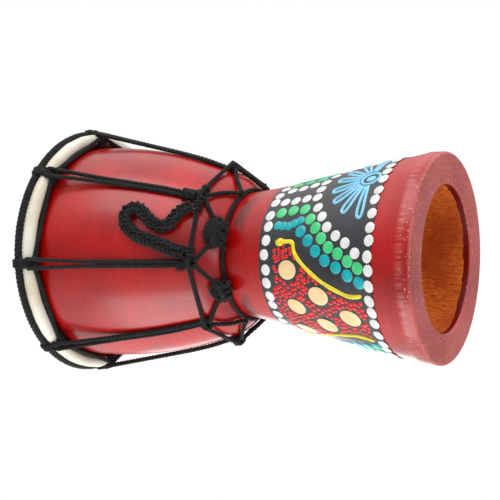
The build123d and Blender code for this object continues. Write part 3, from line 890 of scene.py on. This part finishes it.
def cord_finish(name, dark, light, fibre):
    """Polished cotton: matt, dusty black with fine fibres along and across."""
    made, surface, where = finish_of(name, {
        "Sheen Weight": 0.12, "Sheen Roughness": 0.45, "Specular IOR Level": 0.28, "Roughness": 0.76,
    })
    lint = mottle(where, 2600.0, 4.0)
    dusty = mottle(where, 240.0, 3.0)
    black = shades(lint, (0.30, dark), (0.72, light))
    black = blended(between(dusty, 0.55, 0.8, 0.0, 0.30), black, fibre)
    dress(surface, black, None, (lint, 0.00018), (dusty, 0.00010))
    return made


lacing = cord_finish("lacing_cotton", rgb(12, 13, 14), rgb(44, 46, 47), rgb(70, 72, 72))


def laced(name, lines, node, slot="lacing_cord", body="drum", finish=lacing,
          diameter=CORD_D, lay=LAY, round_steps=1):
    """A piece of laid cord along one or more lines, which stands for its node."""
    strands = [ply for line in lines for ply in plies(line, diameter, 3, lay)]
    bm = skein(strands, PLY_D * diameter, None, round_steps)
    piece(name, bm, [finish], slot, node, body=body, sharp=80)


def scattered(spread):
    """A random vector with the same spread along each axis."""
    return Vector([chance.gauss(0, spread) for _ in range(3)])


def fluff(name, finish, body, slot, roots, length, thickness=0.00007):
    """Loose fibres: each root is a point and the way that the fibre leaves it."""
    lines = []
    for root, way in roots:
        bent = scattered(1) * 0.45
        reach = length * chance.uniform(0.45, 1.0)
        tip = root + (way + bent).normalized() * reach
        bend = root.lerp(tip, 0.55) + scattered(1) * reach * 0.14
        lines.append([root, bend, tip])
    bm = skein(lines, thickness, lambda t: 1.0 - 0.7 * t, 0)
    piece(name, bm, [finish], slot, body=body, sharp=80)


def ring_line(radius, height, count=240):
    """A closed circle round the drum's axis."""
    return [at(360.0 * i / count, radius, height) for i in range(count + 1)]


# The crown cord is a heavy cord that sits in the fold of the head, above the hoop.
CROWN_R, CROWN_Z, CROWN_D = ring_of("crown_cord")
heavy = cord_finish("heavy_cotton", rgb(12, 13, 14), rgb(42, 44, 45), rgb(66, 68, 68))
laced("crown_cord_laid", [ring_line(CROWN_R, CROWN_Z)], "crown_cord", "heavy_cord",
      finish=heavy, diameter=0.88 * CROWN_D, lay=1.9, round_steps=3)

# Hitches. At each post the cord goes up outside, over the crown cord, through
# the skin and under the hoop, three times, with two bights drawn across the turns.
PAIR_TOP, PAIR_LOW = 0.0046, 0.0021
HOOP_WRAP = 0.5 * HOOP_D + SNUG + SKIN + SNUG + 0.5 * CORD_D
CROWN_WRAP = 0.5 * CROWN_D + SNUG + 0.5 * CORD_D - 0.0010
START, OUTSIDE, INSIDE, END = -88, -25.0, 133.0, 272
ANCHORS = (-40, 28)
LEAN_IN = 0.52


def hoop_turn(angle, side):
    """One turn round the hoop and the crown cord."""
    path = arc(HOOP_C, HOOP_WRAP, START, OUTSIDE, 5)
    path += arc((CROWN_R, CROWN_Z), CROWN_WRAP, OUTSIDE, INSIDE, 10)
    path += arc(HOOP_C, HOOP_WRAP, INSIDE, END, 8)
    made = []
    for i, (r, z) in enumerate(path):
        share = math.sin(math.pi * i / (len(path) - 1))
        made.append(at(angle, r, z, side * (1 - LEAN_IN * share)))
    return made


# A bight's points: which anchor on the hoop, how far out and up from it, and its share of the way across.
BIGHTS = (
    ((0, -0.0006, 0.0, -0.62), (0, 0.0014, 0.0006, -0.3), (1, 0.0012, -0.0012, 0.0),
     (1, 0.0010, 0.0, 0.3), (1, -0.0006, 0.0004, 0.62)),
    ((0, -0.0004, 0.0010, 0.60), (0, 0.0009, 0.0018, 0.25), (1, 0.0008, 0.0002, -0.2),
     (1, -0.0006, 0.0014, -0.55)),
)
anchors = [polar(HOOP_C, HOOP_WRAP, way) for way in ANCHORS]
for number, angle in enumerate(POST_ANGLES, 1):
    lines = [hoop_turn(angle, way * PAIR_TOP) for way in (-0.5, 0.0, 0.5)]
    for bight in BIGHTS:
        lines.append(smooth_line([
            at(angle, anchors[k][0] + out, anchors[k][1] + rise, share * PAIR_TOP)
            for k, out, rise, share in bight
        ]))
    laced(f"hitch_cord_{number}", lines, f"hoop_hitch_{number}", diameter=0.92 * CORD_D)


def drawn_tight(start, end, count):
    """A straight run of cord with its points evenly spaced."""
    return [start.lerp(end, i / count) for i in range(count + 1)]


# Cords under the hoop, each drawn tight from one post to the next.
under_r, under_z = HOOP_R + 0.0012, HOOP_Z - 0.5 * HOOP_D - SKIN - 0.5 * CORD_D - 0.0002
lines = []
for angle in POST_ANGLES:
    start = at(angle, under_r, under_z, 0.3 * PAIR_TOP)
    end = at(angle + PITCH, under_r, under_z, -0.3 * PAIR_TOP)
    lines.append(drawn_tight(start, end, 12))
laced("under_hoop_cord", lines, "under_hoop_cords")

# Uprights. Two strands run from each hitch down the bowl and close up side by
# side before they reach the knot on the shoulder.
def middle_of(node):
    """The middle of a node's box."""
    low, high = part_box(node)
    return (low + high) / 2


knots = [middle_of(f"lower_knot_{number}") for number in range(1, POSTS + 1)]
KNOT_Z = knots[0].z
KNOT_D = 0.0056
TOUCH, BEND, GATHER = 0.28, 0.13, 0.42


def off_bowl(height, gap):
    """Radius of a point that stands gap off the bowl, square to its surface."""
    if height >= SHOULDER_TOP:
        return BELLY_R - SIDE_ARC + math.sqrt((SIDE_ARC + gap) ** 2 - (height - BELLY_H) ** 2)
    return SHOULDER_C[0] + math.sqrt((SHOULDER_ARC + gap) ** 2 - (height - SHOULDER_C[1]) ** 2)


def upright_line(angle, way):
    """One strand of a pair, from the hitch to the knot."""
    top = polar(HOOP_C, HOOP_WRAP, OUTSIDE)
    rim_top = LIP_C[1] + LIP_R
    touch = KNOT_Z + TOUCH * (rim_top - KNOT_Z)
    bend = KNOT_Z + BEND * (rim_top - KNOT_Z)
    gather = top[1] - GATHER * (top[1] - touch)
    lift = 0.5 * CORD_D + SNUG
    touch_r = off_bowl(touch, lift) + 0.00035
    gather_r = touch_r + (top[0] - touch_r) * (gather - touch) / (top[1] - touch)
    return smooth_line([
        at(angle, top[0] - 0.0001, top[1] - 0.0003, way * PAIR_TOP),
        at(angle, gather_r, gather, way * PAIR_LOW),
        at(angle, touch_r, touch, way * PAIR_LOW),
        at(angle, off_bowl(bend, lift) + 0.0003, bend, way * PAIR_LOW),
        at(angle, off_bowl(KNOT_Z, lift) + 0.0001, KNOT_Z + 0.0004, way * 0.8 * PAIR_LOW),
    ])


for number, angle in enumerate(POST_ANGLES, 1):
    lines = [upright_line(angle, way) for way in (-0.5, 0.5)]
    laced(f"upright_cords_{number}", lines, f"upright_pair_{number}")


# Lower knots. A half hitch binds each pair to the middle ring.
def winding(centre, across, out, along, turns, start=0.0, steps=16):
    """Turns of cord round an axis: across and out are the half axes, along is the step of one turn."""
    count = round(turns * steps)
    made = []
    for i in range(count + 1):
        a = math.radians(start) + 2 * math.pi * i / steps
        made.append(centre + across * math.cos(a) + out * math.sin(a) + along * (i / steps - turns / 2))
    return made


def facing(angle):
    """At an angle round the drum, the directions straight out and along the tangent."""
    return at(angle, 1.0, 0), at(angle, 0, 0, 1.0)


for number, (angle, knot) in enumerate(zip(POST_ANGLES, knots), 1):
    out, across = facing(angle)
    tipped = (UP + out * 0.45).normalized()
    centre = knot - out * 0.0004
    around = winding(centre, across * 0.0024, out * 0.0019, tipped * 0.0017, 1.6, 200)
    rising, falling = (across + UP).normalized(), (UP - across).normalized()
    slanted = winding(centre, rising * 0.0025, out * 0.0024, falling * 0.0010, 1.2, 160)
    laced(f"knot_cord_{number}", [around, slanted], f"lower_knot_{number}", diameter=TYING_D)

# Middle ring and net. The ring is drawn straight from knot to knot, and each
# V of the net goes down from a knot, round the neck ring and up to the next.
neck_low, neck_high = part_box("neck_ring_cord")
NECK_RING_R = 0.5 * (neck_high.x - neck_low.x) - 0.5 * CORD_D
NECK_RING_Z = 0.5 * (neck_low.z + neck_high.z)
RING_OFF, KNEE, KNEE_GAP, UNDER_GAP = 0.0049, 0.42, 0.0009, 0.0005
RING_TURN_R = off_bowl(KNOT_Z, 0.0) + RING_OFF
low_r = NECK_RING_R + CORD_D + SNUG
knee_z = NECK_H + KNEE * (KNOT_Z - NECK_H)
knee_r = off_bowl(knee_z, 0.0) + 0.5 * CORD_D + KNEE_GAP
under_z = 0.5 * (knee_z + NECK_RING_Z)
under_r = off_bowl(under_z, 0.5 * CORD_D + UNDER_GAP)
knot_r = off_bowl(KNOT_Z, 0.36 * KNOT_D)
# The net's points: share of the way to the next post, radius and height.
net = [(0.02, knot_r, KNOT_Z - 0.30 * KNOT_D), (0.24, knee_r, knee_z), (0.345, under_r, under_z)]
net += [(0.45, low_r, NECK_RING_Z), (0.5, low_r + 0.0004, NECK_RING_Z - 0.0012)]
net += [(1 - share, radius, height) for share, radius, height in reversed(net[:-1])]
for number, here in enumerate(POST_ANGLES, 1):
    ends = [at(here, RING_TURN_R, KNOT_Z), at(here + PITCH, RING_TURN_R, KNOT_Z)]
    laced(f"middle_ring_cord_{number}", [drawn_tight(*ends, 10)], f"middle_ring_strand_{number}")
    line = smooth_line([at(here + share * PITCH, radius, height) for share, radius, height in net])
    laced(f"net_cord_{number}", [line], f"net_strand_{number}")
laced("neck_ring_laid", [ring_line(NECK_RING_R, NECK_RING_Z)], "neck_ring_cord")

# --------------------
# Tied pieces. The cord's start and end are wound into a ball and a square tie
# on the neck ring; one pair is whipped above its knot beside a stopper ball.
BALL_ANGLE = FIRST_POST + 0.5 * PITCH
ball_out, ball_across = facing(BALL_ANGLE)
ball = at(BALL_ANGLE, NECK_RING_R + 0.0040, NECK_RING_Z + 0.0026)
BALL_WIDE, BALL_TALL, BALL_DEEP = 0.0066, 0.0048, 0.0042
BALL_WINDINGS, BALL_SHIFT, BALL_FIBRES = 16, 0.0027, 900
lines = []
for k in range(BALL_WINDINGS):
    tilt = math.radians(chance.choice((-62, -24, 8, 40, 78)) + chance.uniform(-12, 12))
    first = ball_across * math.cos(tilt) + UP * math.sin(tilt)
    second = UP * math.cos(tilt) - ball_across * math.sin(tilt)
    shift = chance.uniform(-BALL_SHIFT, BALL_SHIFT)
    shrunk = math.sqrt(1 - (shift / BALL_TALL) ** 2)
    reach_one = math.hypot(BALL_WIDE * math.cos(tilt), BALL_TALL * math.sin(tilt)) * shrunk
    lines.append(winding(ball + second * shift, first * reach_one, ball_out * BALL_DEEP * shrunk,
                         second * 0.0011, 1.15, 40 * k, 18))
laced("wound_ball", lines, "wound_ball_knot", diameter=TYING_D)
roots = []
for _ in range(BALL_FIBRES):
    way = scattered(1).normalized()
    if way.dot(ball_out) < -0.2:
        continue
    root = ball + ball_across * way.dot(ball_across) * 0.0072 + UP * way.z * 0.0054
    root += ball_out * way.dot(ball_out) * 0.0047
    roots.append((root, (way + ball_across * 0.3).normalized()))
for _ in range(60):
    root = ball - ball_across * 0.0068 + UP * 0.0022 + scattered(0.0005)
    roots.append((root, (UP - ball_across * 0.8 + ball_out * 0.3).normalized()))
fluff("ball_fibres", lacing, "drum", "lacing_cord", roots, 0.0027, 0.00013)

BLOCK_ANGLE = FIRST_POST - 0.5 * PITCH
block_out, block_across = facing(BLOCK_ANGLE)
block = at(BLOCK_ANGLE, NECK_RING_R + 0.0034, NECK_RING_Z + 0.0006)
lines = []
for k in range(3):
    lines.append(winding(block + block_across * 0.0028 * (k - 1), UP * 0.0042, block_out * 0.0030,
                         block_across * 0.0008, 1.1, 200, 16))
for k in range(2):
    lines.append(winding(block + UP * 0.0028 * (k - 0.5), block_across * 0.0044, block_out * 0.0034,
                         UP * 0.0008, 0.9, 20, 16))
for way in (-1, 1):
    lines.append(smooth_line([
        block + block_across * 0.0040 * way,
        block + block_across * 0.0052 * way + block_out * 0.0026 + UP * 0.0022,
        block + block_across * 0.0018 * way + block_out * 0.0046 + UP * 0.0034 * way,
        block - block_across * 0.0026 * way + block_out * 0.0036 + UP * 0.0014 * way,
        block - block_across * 0.0046 * way + block_out * 0.0016 - UP * 0.0020 * way,
    ]))
laced("square_tie", lines, "square_tie_knot")

WHIP_POST = FIRST_POST + PITCH
WHIP_L, WHIP_TURNS, WHIP_WIDE, WHIP_DEEP = 0.0070, 6, 0.0025, 0.0016
whip_z = KNOT_Z + 0.5 * KNOT_D + 0.0002
slope = Vector((off_bowl(whip_z + WHIP_L, 0.0) - off_bowl(whip_z, 0.0), WHIP_L)).normalized()
whip_up = at(WHIP_POST, slope.x, slope.y)
whip_out = at(WHIP_POST, slope.y, -slope.x)
whip_across = facing(WHIP_POST)[1]
whip_r = off_bowl(whip_z + 0.5 * WHIP_L, 0.0) + 0.5 * CORD_D + 0.0006
whip_mid = at(WHIP_POST, whip_r, whip_z + 0.5 * WHIP_L)
coil = winding(whip_mid, whip_across * WHIP_WIDE, whip_out * WHIP_DEEP,
               whip_up * (WHIP_L / WHIP_TURNS), WHIP_TURNS, 0, 18)
lean = whip_up * 0.0014 + whip_across * 0.0005
tail = [whip_mid + whip_out * 0.0019 + lean * k for k in range(-2, 3)]
laced("whipping_cord", [coil, tail], "whipping", diameter=0.0013)

stopper = middle_of("stopper_ball")
stop_out = Vector((stopper.x, stopper.y, 0.0)).normalized()
stop_across = UP.cross(stop_out)
lines = []
for k in range(3):
    tilt = math.radians(60 * k + 15)
    spoke = stop_across * math.cos(tilt) + UP * math.sin(tilt)
    step = spoke.cross(stop_out) * 0.0009
    lines.append(winding(stopper, spoke * 0.0015, stop_out * 0.0016, step, 1.3, 50 * k, 14))
laced("stopper_knot", lines, "stopper_ball", diameter=0.0015)

# --------------------
# Carry loop. A soft flat braid of five cords that hangs from the middle ring
# by two eyes and lies against the bowl.
BRAID_CORDS, BRAID_PITCH, BRAID_WIDE, BRAID_DEEP = 5, 0.0130, 0.00235, 0.00105
BRAID_PLY, BRAID_PLY_D, BRAID_LAY = 0.00190, 0.00118, 3.2
EYE_APART, EYE_R, EYE_TURNS = 0.0112, 0.00185, 2.4
LOOP_FIBRES, TUFT_FIBRES = 360, 190
LOOP_ROUTE = [
    (0.0218, -0.0382, 0.1113), (0.0204, -0.0402, 0.1145), (0.0175, -0.0426, 0.1170),
    (0.0122, -0.0450, 0.1190), (0.0122, -0.0470, 0.1253), (0.0170, -0.0471, 0.1306),
    (0.0213, -0.0465, 0.1356), (0.0193, -0.0487, 0.1410), (0.0130, -0.0506, 0.1404),
    (0.0078, -0.0503, 0.1346), (0.0052, -0.0488, 0.1274), (0.0031, -0.0470, 0.1206),
    (0.0006, -0.0458, 0.1146), (0.0001, -0.0441, 0.11075),
]
loop_line = smooth_line(LOOP_ROUTE, 24)
line = evenly(loop_line, 0.0006)
pairs = []
for point, (a, b) in zip(line, carried(line)):
    outward = Vector((point.x, point.y, 0.0)).normalized()
    way = a.cross(b)
    out = (outward - way * outward.dot(way)).normalized()
    pairs.append((way.cross(out), out))
step = (line[1] - line[0]).length
strands = []
for k in range(BRAID_CORDS):
    strand = []
    for i, (point, (flat, out)) in enumerate(zip(line, pairs)):
        a = 2 * math.pi * (i * step / BRAID_PITCH + k / BRAID_CORDS)
        strand.append(point + flat * BRAID_WIDE * math.sin(a) + out * BRAID_DEEP * math.sin(2 * a))
    strands.append(strand)
braided = cord_finish("braided_cotton", rgb(12, 12, 13), rgb(44, 45, 46), rgb(70, 71, 71))
fine_plies = [ply for strand in strands for ply in plies(strand, BRAID_PLY, 2, BRAID_LAY)]
bm = skein(fine_plies, BRAID_PLY_D)
loop = piece("braided_loop", bm, [braided], "braided_cord", "carry_loop", body="loop", sharp=80)
roots = []
for _ in range(LOOP_FIBRES):
    i = chance.randrange(len(line))
    a = chance.uniform(0, 2 * math.pi)
    flat, out = pairs[i]
    way = flat * math.cos(a) + out * math.sin(a)
    roots.append((line[i] + flat * math.cos(a) * 0.0029 + out * math.sin(a) * 0.0019, way))
fluff("loop_fibres", braided, "loop", "braided_cord", roots, 0.0014)

ring_start, ring_end = at(FIRST_POST, RING_TURN_R, KNOT_Z), at(FIRST_POST + PITCH, RING_TURN_R, KNOT_Z)
eye_middle = (ring_start + ring_end) / 2
eye_along = (ring_end - ring_start).normalized()
eye_side = eye_along.cross(UP).normalized()
lines = []
for way in (-1, 1):
    lines.append(winding(eye_middle + eye_along * (way * EYE_APART), UP * EYE_R, eye_side * EYE_R,
                         eye_along * 0.00165, EYE_TURNS, 90, 18))
laced("loop_eyes", lines, "carry_loop_eyes", "braided_cord", "loop", braided, diameter=0.0013)

# The loop's cut ends stick out frayed from the lower knot that they are tied into.
tuft_out, tuft_across = facing(FIRST_POST)
tuft = knots[0] + tuft_out * 0.0026 + UP * 0.0016 - tuft_across * 0.0004
roots = []
for _ in range(TUFT_FIBRES):
    roots.append((tuft + scattered(0.0007), UP * 0.8 - tuft_across * 0.5 + tuft_out * 0.25))
fluff("loop_tuft", braided, "drum", "braided_cord", roots, 0.0046, 0.00017)
